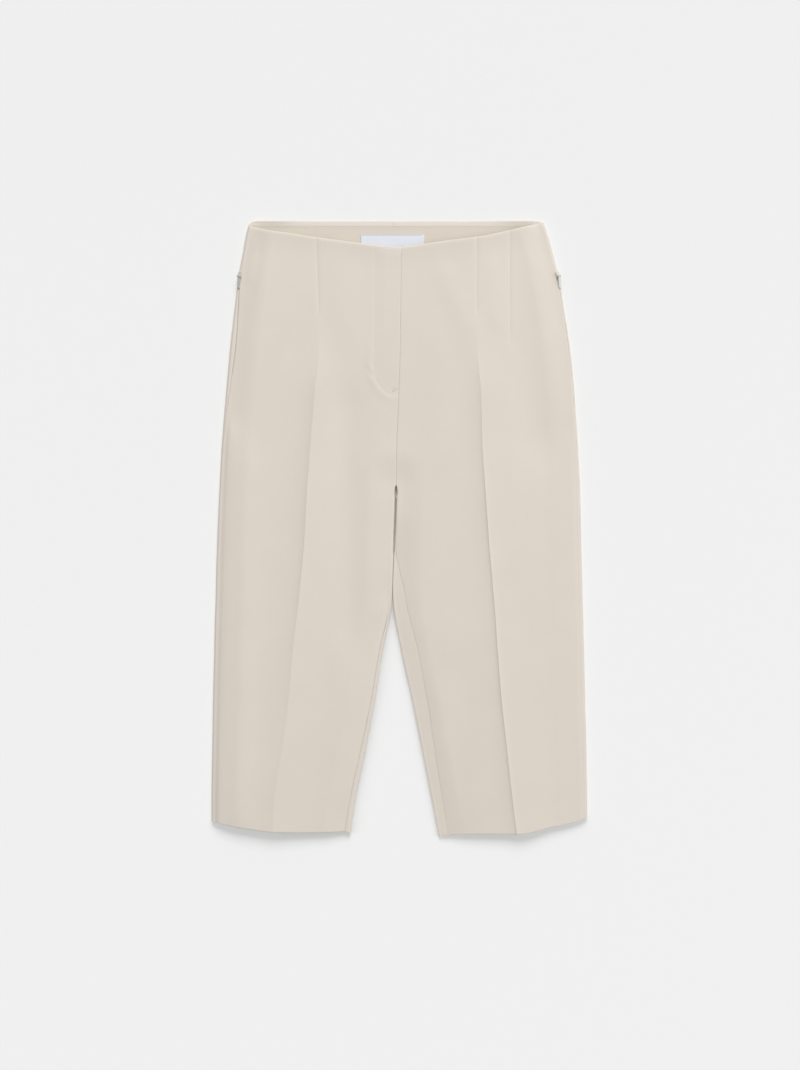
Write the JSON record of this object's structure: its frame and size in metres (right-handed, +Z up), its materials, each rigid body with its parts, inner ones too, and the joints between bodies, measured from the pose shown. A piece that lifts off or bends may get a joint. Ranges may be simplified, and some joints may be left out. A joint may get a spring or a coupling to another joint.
{
  "type": "capri trousers laid flat",
  "caption": "Cream capri trousers laid flat, front up, with a curved waist, fly front, pressed creases, darts and small zips in the side seams.",
  "frame": {"origin": "centre of the garment's box, on the surface that it lies on", "axes": "+Y from the hems to the waist, +Z up out of the front, +X to the wearer's left, which is on the right of the picture"},
  "size_m": [0.478, 0.781, 0.0131],
  "materials": {
    "cloth": "matt cream crepe suiting",
    "facing": "wrong side of the same crepe",
    "label": "woven white satin, bare",
    "zip_tape": "cream tape and coil",
    "zip_metal": "satin grey metal"
  },
  "bodies": {
    "garment": {"right_front": "cloth", "left_front": "cloth", "right_back": "cloth", "left_back": "cloth", "right_back_facing": "facing", "left_back_facing": "facing", "label": "label", "fly_zip": "zip_tape", "right_zip_chain": "zip_tape", "left_zip_chain": "zip_tape", "right_zip_slider": "zip_metal", "left_zip_slider": "zip_metal"},
    "right_pull": {"right_zip_pull": "zip_metal"},
    "left_pull": {"left_zip_pull": "zip_metal"}
  },
  "joints": [
    {"name": "right_pull_hinge", "type": "hinge", "parent": "garment", "child": "right_pull", "pos_m": [-0.20387, 0.32179, 0.0099], "axis": [-0.9196, 0.096, -0.3809], "range_deg": [0, 180]},
    {"name": "left_pull_hinge", "type": "hinge", "parent": "garment", "child": "left_pull", "pos_m": [0.20278, 0.322, 0.00919], "axis": [-0.8139, -0.1582, 0.5591], "range_deg": [0, 180]}
  ]
}
